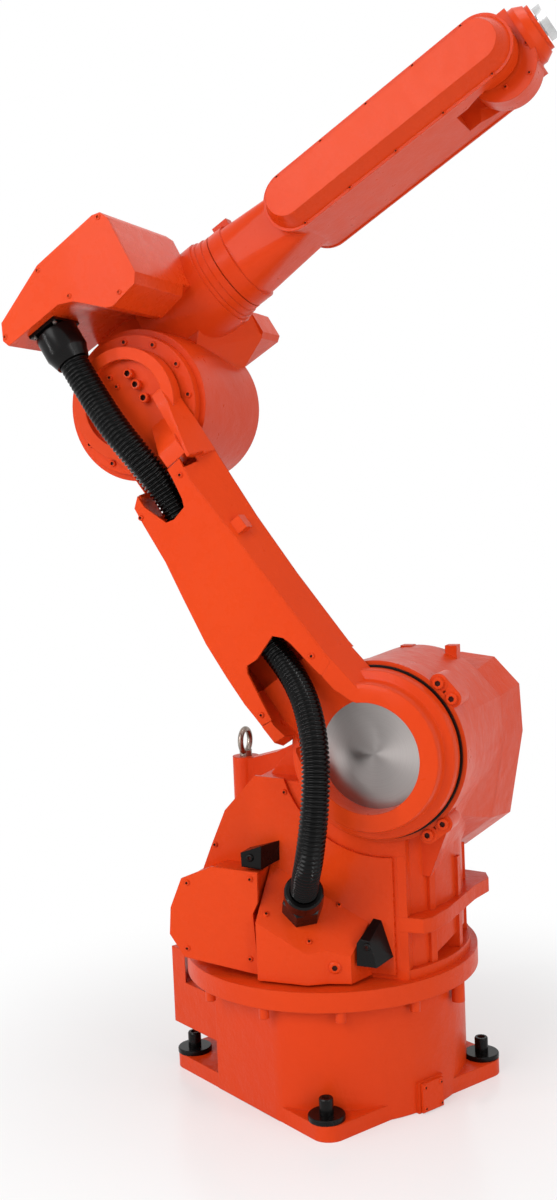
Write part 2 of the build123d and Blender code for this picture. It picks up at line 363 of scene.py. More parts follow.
# Solids from outlines, in local millimetres
class Solid:
    """Closed mesh that takes part in unions, cuts and intersections."""

    def __init__(self, vertices, faces):
        self.mesh = bpy.data.meshes.new("solid")
        self.mesh.from_pydata(vertices, [], faces)
        data = bmesh.new()
        data.from_mesh(self.mesh)
        bmesh.ops.recalc_face_normals(data, faces=data.faces)
        data.to_mesh(self.mesh)
        data.free()

    def combined(self, other, operation):
        """New solid made with a Boolean modifier."""
        holders = [bpy.data.objects.new("holder", one.mesh) for one in (self, other)]
        for holder in holders:
            bpy.context.scene.collection.objects.link(holder)
        change = holders[0].modifiers.new("change", "BOOLEAN")
        change.operation = operation
        change.solver = "EXACT"
        change.object = holders[1]
        depsgraph = bpy.context.evaluated_depsgraph_get()
        result = Solid.__new__(Solid)
        result.mesh = bpy.data.meshes.new_from_object(holders[0].evaluated_get(depsgraph))
        for holder in holders:
            bpy.data.objects.remove(holder)
        return result

    def __add__(self, other):
        return self.combined(other, "UNION")

    def __sub__(self, other):
        return self.combined(other, "DIFFERENCE")

    def __and__(self, other):
        return self.combined(other, "INTERSECT")


def through(rings):
    """Solid through closed rings of points, capped at both ends."""
    count = len(rings[0])
    vertices = [point for ring in rings for point in ring]
    last = len(vertices) - count
    faces = [list(range(count)), list(range(last, last + count))]
    for start in range(0, last, count):
        for k in range(count):
            n = (k + 1) % count
            faces.append((start + k, start + n, start + count + n, start + count + k))
    return Solid(vertices, faces)


def flared(points0, w0, points1, w1):
    """Solid between two outlines with the same number of corners."""
    return through([[(u, v, w0) for u, v in points0], [(u, v, w1) for u, v in points1]])


def prism(points, w0, w1):
    """Outline pulled from one side plane to another."""
    return flared(points, w0, points, w1)


def upright(points, v0, v1):
    """Outline given as (u, w), pulled upward."""
    return through([[(u, v0, w) for u, w in points], [(u, v1, w) for u, w in points]])


def across(points, u0, u1):
    """Outline given as (v, w), pulled along u."""
    return through([[(u0, v, w) for v, w in points], [(u1, v, w) for v, w in points]])


def circle(u, v, radius, count=96):
    angles = [2 * pi * k / count for k in range(count)]
    return [(u + radius * cos(angle), v + radius * sin(angle)) for angle in angles]


def drum(u, v, radius, w0, w1):
    return prism(circle(u, v, radius), w0, w1)


def along(u0, u1, radius0, radius1, count=96):
    """Round piece on the u axis."""
    low, high = circle(0, 0, radius0, count), circle(0, 0, radius1, count)
    return through([[(u0, v, w) for v, w in low], [(u1, v, w) for v, w in high]])


def block(u0, u1, v0, v1, w0, w1):
    return prism([(u0, v0), (u1, v0), (u1, v1), (u0, v1)], w0, w1)


def stadium(u0, u1, radius, half=24):
    """Outline of a slot between two centres."""
    points = []
    for centre, first in ((u1, -pi / 2), (u0, pi / 2)):
        for k in range(half + 1):
            angle = first + pi * k / half
            points.append((centre + radius * cos(angle), radius * sin(angle)))
    return points


def rounded_rectangle(half_u, half_v, radius, quarter=12):
    """Outline about the origin with round corners."""
    points = []
    for turn, (side_u, side_v) in enumerate(((1, 1), (-1, 1), (-1, -1), (1, -1))):
        for k in range(quarter + 1):
            angle = pi / 2 * (turn + k / quarter)
            points.append((side_u * (half_u - radius) + radius * cos(angle),
                           side_v * (half_v - radius) + radius * sin(angle)))
    return points


def scaled(points, centre, factor):
    """Outline grown or shrunk about a point."""
    centre_u, centre_v = centre
    return [(centre_u + (u - centre_u) * factor, centre_v + (v - centre_v) * factor)
            for u, v in points]


def on_circle(u, v, degrees, radius):
    return (u + radius * cos(radians(degrees)), v + radius * sin(radians(degrees)))


def revolved(profile, count=128):
    """Solid of revolution about w through (radius, w) points, capped at the first and the last."""
    return through([[(u, v, w) for u, v in circle(0, 0, radius, count)] for radius, w in profile])


def form(name, solid, base, body, material, slot_name="orange_paint", *nodes):
    """Places a solid in the row frame, in place of the nodes that it stands for."""
    data = bmesh.new()
    data.from_mesh(solid.mesh)
    data.transform(base)
    bmesh.ops.remove_doubles(data, verts=data.verts, dist=MERGE_DISTANCE)
    piece = make_piece(name, data, material, body)
    if nodes:
        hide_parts(*nodes)


# Sizes of the forms, millimetres
gland_base = Vector((26.0, 371.0, 201.0))
gland_axis = Vector((0.333, 0.646, 0.687)).normalized()
shoulder_x = 165.0
shoulder_z = 648.0
lug_back_w = 120.0
lug_face_w = 170.0
lug_angles = (47, 35, -47, -59)
rim_top = 247.0
rim_bottom = 211.0
column_front_w = 165.0
plate_thick = 6.0
left_plate_w = 229.0
eye_post_u = -176.0
shoulder_front_w = 172.0
flange_back_w = 118.0
shoulder_r = 158.0
drum_r = 156.0
lug_ring_r = 164.0
lug_r = 16.0
arm_sweep_r = lug_ring_r + lug_r + 6.0
hub_back_w = 178.0
elbow_offset = 144.0
elbow_flange_w = 168.0
elbow_floor_w = 189.0
box_back_w = 55.0
box_face_w = 294.0
FAR = 400.0


def base_forms():
    """Foot, round body, rear connector housing and the flat for the access plate."""
    body_r, body_top, flat, rear_x = 248.0, 203, 222.0, -77.0
    foot_half_x, foot_half_y, foot_corner_r, foot_hole_r = 235, 220, 34, 12
    neck_back_x, neck_half_y = -217, 120
    housing_back_x, housing_front_x, housing_half_y = -235, -60, 210
    housing_low_z, housing_top_z = 82, 231
    rim_clear_r, rim_clear_z = 284, 168
    pad_low_y, pad_high_y, pad_top_z = -24, 36, 56
    foot = prism(rounded_rectangle(foot_half_x, foot_half_y, foot_corner_r), 0, foot_top)
    for x, y, _ in feet:
        foot = foot - drum(x, y, foot_hole_r, -5, foot_top + 5)
    outline = [(x, max(-flat, min(flat, y))) for x, y in circle(0, 0, body_r, 128)]
    body = prism(outline, 1, body_top) & block(rear_x, FAR, -FAR, FAR, 0, FAR)
    body = body + block(neck_back_x, rear_x + 5, -neck_half_y, neck_half_y, 2, body_top - 1)
    rear = block(housing_back_x, housing_front_x, -housing_half_y, housing_half_y, housing_low_z,
                 housing_top_z)
    rear = rear - drum(0, 0, rim_clear_r, rim_clear_z, FAR)
    pad = block(body_r - 24, body_r + 5.5, pad_low_y, pad_high_y, 0.5, pad_top_z)
    form("base_body", foot + body + rear + pad, ROW, "base", rough_cast_paint, "orange_paint",
         "base_casting")


def rim_form():
    """Turning rim with its small bosses and one stop boss."""
    rim_r, boss_ring_r, boss_count, first_angle, stop_boss = 275, 263, 12, -37.0, 2
    rim = drum(0, 0, rim_r, rim_bottom, rim_top)
    for k in range(boss_count):
        angle = first_angle + 360.0 / boss_count * k
        radius, drop = 9.0, 20.0
        if k == stop_boss:
            angle, radius, drop = 19.0, 12.0, 36.0
        x, y = on_circle(0, 0, angle, boss_ring_r)
        rim = rim + drum(x, y, radius, rim_bottom - drop, rim_bottom + 5)
    form("turning_rim", rim, ROW, "swing_column", rough_cast_paint, "orange_paint", "turntable")


# Outlines of the motor cover and the left box, and the angles of the two lug pairs
octagon = [(-6, 628), (-2, 718), (45, 768), (105, 780), (222, 779), (285, 770), (332, 718), (336, 628),
           (307, 468), (217, 400), (113, 400), (23, 468)]
octagon_centre = (shoulder_x, 610.0)
motor_back_w = -90.0
cover_small = scaled(octagon, octagon_centre, 0.92)
left_outline = [(-193, 278), (-216, 315), (-213, 363), (-190, 415), (-148, 432), (-133, 439), (-48, 435),
                (-50, 385), (-60, 365), (-53, 262)]
lug_pairs = ((35.0, 47.0), (-59.0, -47.0))


def column_forms():
    """Column with ledge, ribs, drum, left box and eye post, then its motor cover, flange and seal."""
    side_shape = [(-185, rim_top), (206, rim_top), (266, 307), (252, 451), (236, 500), (-110, 540),
                  (-129, 531), (-158, 465), (-177, 420)]
    column_back_w, column_r, foot_ring_r, foot_ring_top = -215, 251, 262, 264
    ledge_low, ledge_high, rib_inner, rib_outer, rib_top, rib_half = 332, 358, 221, 257, 430, 8
    post_low, post_top, post_w, post_r = 430, 592, -30, 26
    front_half = block(-200, 206, 100, 900, 0.5, column_front_w - 0.5)
    column = prism(side_shape, column_back_w, column_front_w)
    column = column & (upright(circle(0, 0, column_r, 128), 200, 900) + front_half)
    foot_ring = upright(circle(0, 0, foot_ring_r, 128), rim_top - 1, foot_ring_top)
    foot_ring = foot_ring - block(-300, 300, 200, 300, column_front_w, 300)
    ledge = upright([(-100, 165), (234, 165), (246, 150), (258, 93), (268, -54), (280, -112),
                     (266, -146), (150, -175), (-100, -175)], ledge_low, ledge_high)
    column = column + foot_ring + ledge
    for angle in (24.0, 2.0, -22.0, -46.0):
        rib = block(rib_inner, rib_outer, rim_top, rib_top, -rib_half, rib_half)
        rib.mesh.transform(Matrix.Rotation(radians(-angle), 4, "Y"))
        column = column + rib
    taper = (187.0, 157.0, 135.0, 114.0, 66.0, 45.0, 23.0, -7.0, -52.0, -78.0, -102.0, -128.0)
    round_end = [on_circle(shoulder_x, shoulder_z, angle, drum_r - 1) for angle in taper]
    web = prism([(-120, 420), (235, 420), (303, 588), (45, 718), (-60, 590)], -60, flange_back_w)
    column = column - drum(shoulder_x, shoulder_z, drum_r, -FAR, FAR)
    column = column + drum(shoulder_x, shoulder_z, drum_r, motor_back_w, flange_back_w)
    column = column + flared(cover_small, motor_back_w, round_end, 96) + web
    column = column + prism(left_outline, 60, left_plate_w)
    column = column + prism([(-178, 420), (-159, 465), (-129, 531), (-68, 592), (16, 588), (60, 520),
                             (60, 420)], 20, 164)
    column = column + upright(circle(eye_post_u, post_w, post_r, 64), post_low, post_top)
    column = column + prism([(-176, 470), (-60, 470), (-30, 640), (-100, 606), (-176, 586)], -52, -8)
    top_boss_half, top_boss_height = 11, 806
    for u, low in ((150.0, 780.0), (236.0, 765.0)):
        column = column + block(u - top_boss_half, u + top_boss_half, low, top_boss_height, -84, -58)
    column = column - prism(scaled(octagon, octagon_centre, 1.01), -FAR, motor_back_w - 0.2)
    column = column - drum(shoulder_x, shoulder_z, arm_sweep_r, column_front_w - 1, FAR)
    form("column_body", column, COLUMN, "swing_column", rough_cast_paint, "orange_paint",
         "column_casting")
    widest_w = -190
    cover = flared(octagon, widest_w, cover_small, motor_back_w - 0.3)
    cover = cover + flared(cover_small, column_back_w, octagon, widest_w)
    form("motor_cover_body", cover, COLUMN, "swing_column", rough_cast_paint, "orange_paint",
         "shoulder_motor_cover")
    flange = drum(shoulder_x, shoulder_z, shoulder_r, flange_back_w - 2, shoulder_front_w)
    for low, high in lug_pairs:
        ends = [on_circle(shoulder_x, shoulder_z, angle, lug_ring_r) for angle in (low, high)]
        outer = [on_circle(shoulder_x, shoulder_z, angle, lug_ring_r + lug_r) for angle in (high, low)]
        for u, v in ends:
            flange = flange + drum(u, v, lug_r, lug_back_w, lug_face_w)
        flange = flange + prism(ends + outer, lug_back_w + 0.5, lug_face_w - 0.5)
    form("shoulder_ring", flange, COLUMN, "swing_column", cast_paint, "orange_paint", "shoulder_flange")
    seal_outer_r, seal_inner_r = 151, 120
    seal = drum(shoulder_x, shoulder_z, seal_outer_r, shoulder_front_w - 1, hub_back_w - 0.8)
    seal = seal - drum(shoulder_x, shoulder_z, seal_inner_r, 160, 190)
    form("shoulder_seal", seal, COLUMN, "swing_column", steel_black, "black_plastic")


def column_covers():
    """Left plate, hose pedestal, front plate and the two black guards."""
    plate = [(-193, 275), (-221, 315), (-217, 364), (-193, 419), (-133, 444), (-43, 439), (-45, 385),
             (-55, 365), (-48, 256)]
    form("left_plate", prism(plate, left_plate_w, left_plate_w + plate_thick), COLUMN, "swing_column",
         plate_paint, "orange_paint", "left_cover_plate")
    pedestal = upright([(-44, 160), (-44, 250), (50, 250), (80, 232), (120, 222), (141, 160)], 252, 470)
    pedestal = pedestal & block(-50, 150, 240, 480, column_front_w, 260)
    cutter_half = 450
    cutter = block(-cutter_half, cutter_half, -cutter_half, cutter_half, 0, FAR)
    turn = gland_axis.to_track_quat("Z", "Y").to_matrix().to_4x4()
    cutter.mesh.transform(Matrix.Translation(gland_base) @ turn)
    pedestal = pedestal - cutter
    form("pedestal_body", pedestal, COLUMN, "swing_column", plate_paint, "orange_paint",
         "hose_pedestal")
    front = prism([(-180, 420), (-161, 465), (-131, 531), (-69, 597), (16, 592), (90, 560), (183, 500),
                   (183, 256), (-44, 256), (-44, 420)], column_front_w, column_front_w + plate_thick)
    front = front - prism(left_outline, 0, FAR) - drum(shoulder_x, shoulder_z, arm_sweep_r, 0, FAR)
    form("front_plate", front, COLUMN, "swing_column", plate_paint, "orange_paint", "upper_cover_plate")
    guard_w = column_front_w + plate_thick
    left_guard_face_w, right_guard_face_w = 221, 215
    left = flared([(-84, 444), (-27, 447), (-26, 482), (-84, 466)], guard_w,
                  [(-79, 444), (-42, 441), (-40, 483), (-80, 469)], left_guard_face_w)
    form("left_guard", left, COLUMN, "swing_column", steel_black, "black_steel", "left_guard_bracket")
    right = flared([(121, 286), (180, 289), (160, 352), (146, 354), (121, 318)], guard_w,
                   [(128, 283), (164, 282), (153, 327), (135, 330), (129, 322)], right_guard_face_w)
    form("right_guard", right, COLUMN, "swing_column", steel_black, "black_steel",
         "right_guard_bracket")


def lower_arm_forms():
    """Tapered beam with hub, trough, hollow, elbow head and its cover plate."""
    front_w, cover_back = arm_front_w, arm_front_w - plate_thick
    front = [(-120, 113), (-125, 197), (-124, 253), (-120, 323), (-106, 413), (-94, 483), (-88, 560),
             (-84, 594), (-66, 607), (42, 608), (35, 565), (41, 455), (46, 331), (52, 182), (62, 100)]
    back = [(-138, 105), (-147, 197), (-146, 253), (-142, 323), (-128, 413), (-116, 483), (-110, 560),
            (-104, 594), (-74, 618), (83, 630), (79, 565), (73, 455), (72, 331), (76, 182), (86, 95)]
    back_w, head_w, hub_bore_r, elbow_recess_r, trough_floor_w = 174, 203, 95, 79, 190
    beam = flared(back, back_w, front, front_w)
    arm = beam + prism([(-116, 190), (-92, 570), (34, 570), (44, 190)], 160, 175)
    head_back = [(-72, 596), (-71, 655), (-78, 700), (0, 765), (86, 712), (85, 655), (82, 596)]
    head_front = [(-66, 596), (-66, 655), (-76, 700), (0, 765), (76, 712), (74, 655), (72, 596)]
    arm = arm + flared(head_back, back_w, head_front, head_w) + drum(0, arm_length, 101, back_w, head_w)
    arm = arm - drum(0, 0, arm_sweep_r, 0, hub_back_w) - drum(0, arm_length, 146, 0, back_w)
    arm = arm + revolved([(147, hub_back_w), (147, 197), (144.4, 203.4), (138, 206), (130.6, 208.6),
                          (128, 215), (128, 229), (125.4, 235.4), (119, 238)])
    arm = arm - drum(0, 0, hub_bore_r, 0, FAR)
    arm = arm - prism([(-100, 252), (-102, 137), (-94, 100), (-100, 59), (-60, 40), (60, 50), (66, 60),
                       (40, 90), (26, 125), (22, 160), (20, 252)], trough_floor_w, FAR)
    arm = arm - prism([(-106, 204), (-108, 250), (-106, 323), (-92, 413), (-80, 483), (-74, 560),
                       (-70, 600), (28, 600), (21, 565), (27, 455), (32, 331), (30, 204)],
                      hub_back_w - 6, cover_back + 1)
    arm = arm - drum(0, arm_length, elbow_recess_r, elbow_floor_w, FAR)
    arm = arm - block(-64, 56, 590, arm_length, elbow_floor_w, FAR)
    ridge_back = [(50, 600), (82, 600), (86, 712), (84, 740), (50, 740)]
    ridge_front = [(54, 600), (61, 600), (64, 712), (62, 740), (54, 740)]
    ridge = flared(ridge_back, back_w, ridge_front, front_w)
    ridge = ridge & across([(590, 169), (760, 169), (760, 203), (735, 203), (630, 233), (612, front_w),
                            (590, front_w)], 0, 100)
    flank_lug = block(40, 66, 438, 464, 206, 230)
    arm = arm + ridge + flank_lug
    arm = arm + across([(609, 186), (700, 186), (700, 189), (640, 236), (634, front_w), (609, front_w)],
                       12, 56)
    arm = arm - prism([(-160, 150), (-160, 608), (40, 608), (33, 565), (39, 455), (44, 331), (50, 165),
                       (24, 155), (-100, 147)], cover_back, FAR)
    form("arm_casting", arm, LOWER_ARM, "lower_arm", cast_paint, "orange_paint", "lower_arm")
    plate = [(-121, 150), (-125, 197), (-124, 253), (-120, 323), (-106, 413), (-94, 483), (-88, 560),
             (-84, 594), (-66, 607), (-67, 583), (-50, 536), (-34, 531), (-5, 536), (1, 550), (8, 588),
             (10, 607), (40, 608), (33, 565), (39, 455), (44, 331), (50, 165), (24, 155), (21, 160),
             (10, 232), (5, 247), (-9, 261), (-59, 246), (-80, 248), (-87, 238), (-96, 181),
             (-100, 147)]
    form("arm_cover", prism(plate, cover_back + 0.2, front_w) & beam, LOWER_ARM, "lower_arm",
         plate_paint)


def elbow_forms():
    """Elbow drum with bridge and neck, stepped neck rings, cable box and motor cover."""
    elbow_r, elbow_rim_r, back_w, front_w = 138, 126, -90, 150
    neck_r, neck_start, neck_end = 87, 60, 210
    elbow = drum(0, -elbow_offset, elbow_r, back_w, front_w)
    elbow = elbow + drum(0, -elbow_offset, elbow_rim_r, front_w - 1, elbow_flange_w)
    bridge_back = [(-62, -60), (-42, 62), (150, 80), (206, -46), (200, -105), (96, -150)]
    bridge_front = [(-62, -60), (-42, 62), (140, 90), (150, -60), (122, -92), (60, -200)]
    elbow = elbow + flared(bridge_back, back_w, bridge_front, box_back_w)
    elbow = elbow + along(neck_start, neck_end, neck_r, neck_r)
    neck = along(205, 218, 84, 84) + along(217.5, 231, 81, 81) + along(230.5, 245, 78.5, 78.5)
    form("neck_steps", neck, FOREARM, "elbow", cast_paint, "orange_paint", "neck_ring")
    form("elbow_body", elbow, FOREARM, "elbow", cast_paint, "orange_paint", "elbow_housing")
    box = prism([(191, 100), (184, 116), (169, 121), (34, 117), (-82, 78), (-97, 50), (-92, 36),
                 (30, 36), (59, 22), (85, -4), (104, -24), (117, -30), (172, -23), (184, -7)],
                box_back_w, box_face_w)
    box = box - block(90, 200, -60, -4, 0, 120)
    form("cable_box_body", box, FOREARM, "elbow", plate_paint, "orange_paint", "elbow_cable_box")
    motor = prism([(112, -106), (196, -106), (206, -98), (206, -52), (192, -34), (112, -34)], -172, -88)
    form("elbow_motor_body", motor, FOREARM, "elbow", cast_paint, "orange_paint", "elbow_motor_cover")


# Belt covers and wrist, millimetres
cover_c0 = 430.0
cover_c1 = 834.0
ring_face_u = 921
cover_front_w = 90.0
cover_face_w = 132.0
cover_back_w = -90.0
cover_back_face_w = -118.0


def forearm_forms():
    """Roll ring, neck, beam with the wrist fork, and the two belt covers."""
    collar_r, collar_start, collar_end, neck_tip = 78, 246.5, 276, 442
    beam_r, fork_root, fork_half_w, swing_r = 52, 736, 46, 62.5
    low = rounded_rectangle(70, 70, 56)
    high = rounded_rectangle(47, 58, 12)
    body = along(collar_start, collar_end, collar_r, collar_r)
    body = body + through([[(collar_end - 1, v, w) for v, w in low],
                           [(neck_tip, v, w) for v, w in high]])
    body = body + block(254, 288, 72, 88, -11, 11)
    body = body + prism(stadium(cover_c0, cover_c1, beam_r), cover_back_w, cover_front_w)
    body = body - block(fork_root, cover_c1 + 200, -200, 200, -fork_half_w, fork_half_w)
    for tilt in (-117, -105, -93, 93, 105, 117):
        ring = along(57, 93, swing_r, swing_r)
        swing = Matrix.Rotation(radians(tilt), 4, "Z")
        ring.mesh.transform(Matrix.Translation((cover_c1, 0, 0)) @ swing)
        body = body - ring
    form("forearm_body", body, FOREARM, "forearm", cast_paint, "orange_paint", "forearm")
    rim, edge, front_face_r, back_face_r = 54.0, 5.0, 34, 40
    rim_outline = stadium(cover_c0, cover_c1, rim)
    slope_outline = stadium(cover_c0, cover_c1, rim - 5)
    front_face = stadium(cover_c0, cover_c1, front_face_r)
    back_face = stadium(cover_c0, cover_c1, back_face_r)
    front = prism(rim_outline, cover_front_w, cover_front_w + edge)
    front = front + flared(slope_outline, cover_front_w + edge - 0.5, front_face, cover_face_w)
    form("front_belt_cover_body", front, FOREARM, "forearm", plate_paint, "orange_paint",
         "front_belt_cover")
    back = prism(rim_outline, cover_back_w - edge, cover_back_w)
    back = back + flared(back_face, cover_back_face_w, slope_outline, cover_back_w - edge + 0.5)
    form("back_belt_cover_body", back, FOREARM, "forearm", plate_paint, "orange_paint",
         "back_belt_cover")


def wrist_form():
    """Wrist drum with a lower lobe, a square block, a tapered end ring and a nose."""
    wrist_r, half_w, lobe_r, lobe_u, lobe_v, lobe_back_w = 56, 40, 62, 8, -24, -18
    block_end, ring_r, ring_tip_r, taper_start, nose_r, nose_end = 896, 54, 45.5, 906, 42, 928
    wrist = drum(cover_c1, 0, wrist_r, -half_w, half_w)
    wrist = wrist + drum(cover_c1 + lobe_u, lobe_v, lobe_r, lobe_back_w, half_w - 0.5)
    wrist = wrist + block(cover_c1 + lobe_u, block_end, -60, 50, 1 - half_w, half_w - 1)
    wrist = wrist + along(block_end - 1, taper_start, ring_r, ring_r)
    wrist = wrist + along(taper_start - 0.5, ring_face_u, ring_r, ring_tip_r)
    wrist = wrist + along(ring_face_u - 1, nose_end, nose_r, nose_r)
    form("wrist_body", wrist, FOREARM, "wrist", cast_paint, "orange_paint", "wrist_housing")


def gland_forms():
    """Hexagon gland on the pedestal, flanged gland under the cable box."""
    mesh = bmesh.new()
    nut = [(32, -3, "hex", 0), (32, 40, "hex", 0), (30, 42, "round", 0), (34, 44, "round", 0),
           (34, 70, "round", 0), (31, 73, "round", 0), (24.5, 73, "round", 0), (24.5, 62, "round", 0)]
    turned_solid(mesh, placed(COLUMN, gland_base, gland_axis, 0.26), nut, 48)
    make_piece("lower_gland_nut", mesh, gland_black, "swing_column")
    plate = block(-60, 2, 30, 36.5, 194, 278)
    form("upper_gland_plate", plate, FOREARM, "elbow", gland_black, "black_plastic")
    mesh = bmesh.new()
    cone = [(34, 0, "round", 0), (39, 4, "round", 0), (39, 46, "round", 0), (37, 50, "round", 0),
            (31, 68, "round", 0), (27.5, 68, "round", 0), (27.5, 60, "round", 0)]
    turned_solid(mesh, placed(FOREARM, (-29, 30, 236), (0, -1, 0)), cone, 48)
    make_piece("upper_gland_nut", mesh, gland_black, "elbow")
    fasteners("upper_gland_screws", FOREARM, "elbow",
              [((u, 30, w), (0, -1, 0)) for u in (-53, -5) for w in (201, 271)], cap_head(4, 4, 2),
              screw_steel)


# Ribbed hoses
def hose_line(name, points):
    """Centre line read from a NURBS spline through control points in the column frame."""
    curve = bpy.data.curves.new(name, "CURVE")
    curve.dimensions = "3D"
    curve.resolution_u = 24
    spline = curve.splines.new("NURBS")
    spline.points.add(len(points) - 1)
    for spot, point in zip(spline.points, points):
        spot.co = (*(COLUMN @ Vector(point)), 1)
    spline.order_u = 3
    spline.use_endpoint_u = True
    holder = bpy.data.objects.new(name, curve)
    bpy.context.scene.collection.objects.link(holder)
    mesh = bpy.data.meshes.new_from_object(holder)
    line = [vertex.co.copy() for vertex in mesh.vertices]
    bpy.data.objects.remove(holder)
    return line


def resample(line, step):
    """Points at even steps along a line, with their directions."""
    lengths = [0.0]
    for before, after in zip(line, line[1:]):
        lengths.append(lengths[-1] + (after - before).length)
    count = int(lengths[-1] / step)
    spots = []
    index = 0
    for k in range(count + 1):
        goal = lengths[-1] * k / count
        while index < len(line) - 2 and lengths[index + 1] < goal:
            index += 1
        span = lengths[index + 1] - lengths[index]
        share = (goal - lengths[index]) / span
        point = line[index].lerp(line[index + 1], share)
        ahead = min(index + 2, len(line) - 1)
        behind = max(index - 1, 0)
        spots.append((point, (line[ahead] - line[behind]).normalized()))
    return spots, lengths[-1]


# Radius of a hose over one rib, as shares of its outer radius
RIB_SHAPE = (1.0, 1.0, 0.98, 0.88, 0.86, 0.88, 0.98)


def ribbed_hose(name, points, outer, pitch, held):
    """Corrugated hose: rings of a rounded rib profile swept along the spline."""
    line = hose_line(name + "_line", points)
    spots, length = resample(line, pitch * MM / len(RIB_SHAPE))
    mesh = bmesh.new()
    sides = 40
    side = spots[0][1].orthogonal().normalized()
    rings = []
    for number, (point, ahead) in enumerate(spots):
        side = (side - ahead * side.dot(ahead)).normalized()
        other = ahead.cross(side)
        radius = outer / 2 * MM * RIB_SHAPE[number % len(RIB_SHAPE)]
        ring = []
        for k in range(sides):
            angle = 2 * pi * k / sides
            ring.append(mesh.verts.new(point + (side * cos(angle) + other * sin(angle)) * radius))
        rings.append(ring)
    for low, high in zip(rings, rings[1:]):
        for k in range(sides):
            n = (k + 1) % sides
            mesh.faces.new((low[k], low[n], high[n], high[k]))
    mesh.faces.new(rings[0])
    mesh.faces.new(rings[-1])
    piece = make_piece(name, mesh, hose_black, None)
    piece.data.set_sharp_from_angle(angle=RIB_SHARP_ANGLE)
    start, end = (COLUMN @ Vector(point) for point in held)
    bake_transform(piece)
    [spot[0] for spot in spots[::len(RIB_SHAPE)]] + [spots[-1][0]]


lower_route = [gland_base + gland_axis * 5, gland_base + gland_axis * 103, (86, 490, 308),
               (102, 582, 312), (101, 668, 297), (74, 738, 257), (33, 788, 219), (-13, 834, 201),
               (-71, 915, 200)]
to_column = COLUMN.inverted() @ FOREARM
upper_route = [to_column @ Vector((-29, 24, 236)), to_column @ Vector((-29, -90, 236)),
               (-280, 1228, 246), (-230, 1165, 240), (-197, 1109, 214), (-168, 1051, 201),
               (-122, 971, 201)]
ribbed_hose("lower_ribbed_hose", lower_route, lower_hose_d, 7.6,
            (gland_base + gland_axis * 60, (-13, 834, 201)))
ribbed_hose("upper_ribbed_hose", upper_route, upper_hose_d, 8.0,
            (to_column @ Vector((-29, -40, 236)), (-168, 1051, 201)))

for make in (base_forms, rim_form, column_forms, column_covers, lower_arm_forms, elbow_forms, forearm_forms,
             wrist_form, gland_forms):
    make()

# Foot washers and tall cap screws
washer = [(32.5, 0, "round", 0), (32.5, 7.5, "round", 0), (31, 9, "round", 0), (13, 9, "round", 0),
          (0, 9, "round", 0)]
fasteners("foot_washers", ROW, "base", feet, washer, steel_black)
# The tall cap's deep socket faces (material 1) take the painted shade
tall_cap = [(12.5, 8, "round", 0), (12.5, 35, "round", 0), (11.2, 37, "round", 0), (7.6, 37, "round", 0),
            (7, 36.6, "hex", 0), (7, 26, "hex", 1), (0, 26, "round", 1)]
fasteners("foot_screws", ROW, "base", feet, tall_cap, steel_black)

# Cover plate screws
plate_screw = button_head(5.2, 3.4, 2.2)
fasteners("arm_cover_screws", LOWER_ARM, "lower_arm",
          [(24, 584, 238), (-84, 573, 238), (29, 192, 238), (-110, 165, 238)], plate_screw)
fasteners("elbow_cover_screws", FOREARM, "elbow",
          [(177, 111, 298.6), (30, 109, 298.6), (57, 35, 298.6), (140, -18, 298.6), (-89, 53, 298.6)],
          plate_screw)
fasteners("column_cover_screws", COLUMN, "swing_column",
          [(-181, 412, 235), (-57, 427, 235), (-186, 292, 235), (-63, 284, 235), (-12, 570, 171),
           (-153, 467, 171)], plate_screw)

# Screws of the pedestal, its round plug and the two guards
slope = tuple(gland_axis)
fasteners("pedestal_screws", COLUMN, "swing_column",
          [((-30, 366, 233), slope), ((49, 324, 234.2), slope), ((83, 373, 171.6), slope)], plate_screw)
fasteners("pedestal_plug", COLUMN, "swing_column", [((93, 281, 228.8), (0.243, 0, 0.97))],
          button_head(11, 4, 4.5))
fasteners("guard_screws", COLUMN, "swing_column", [(-62, 461, 221), (148, 318, 215)],
          button_head(7, 4, 3), steel_black)

fasteners("access_plate_screws", ROW, "base",
          [((259, y, z), (1, 0, 0)) for y in (-13, 25) for z in (9, 47)], button_head(4, 2.6, 1.8))

# Screws on the shoulder lugs and round the elbow flange
lug_spots = [(*on_circle(shoulder_x, shoulder_z, angle, lug_ring_r), lug_face_w)
             for angle in lug_angles]
fasteners("shoulder_lug_screws", COLUMN, "swing_column", lug_spots, cap_head(10, 6.5, 4.5))
elbow_screw_ring_r = 114
elbow_angles = (-30, 0, 30, 60, 120, 150, 180, 210)
elbow_spots = [(*on_circle(0, arm_length, angle, elbow_screw_ring_r), elbow_flange_w)
               for angle in elbow_angles]
fasteners("elbow_flange_screws", LOWER_ARM, "elbow", elbow_spots, cap_head(6, 4, 3))

# Socket screws in the elbow recess
recess_spots = [(u, v, elbow_floor_w) for u, v in ((39, 803), (39, 778), (37, 749))]
fasteners("elbow_recess_screws", LOWER_ARM, "lower_arm", recess_spots, cap_head(9, 13, 5))
small_recess_spots = [(u, v, elbow_floor_w) for u, v in ((3, 824), (4, 802))]
fasteners("elbow_recess_small_screws", LOWER_ARM, "lower_arm", small_recess_spots,
          cap_head(5, 5, 2.4))

# Belt cover screws along both edges of the two covers
cover_screw_step = 98.8
cover_screw_v = 49.5
cover_screw_w = 95
edge_spots = [cover_c0 + cover_screw_step * k for k in range(5)]
cover_spots = [((u, side * cover_screw_v, face * cover_screw_w), (0, 0, face))
               for face in (1, -1) for u in edge_spots for side in (-1, 1)]
fasteners("belt_cover_screws", FOREARM, "forearm", cover_spots, button_head(4.2, 3, 1.8))

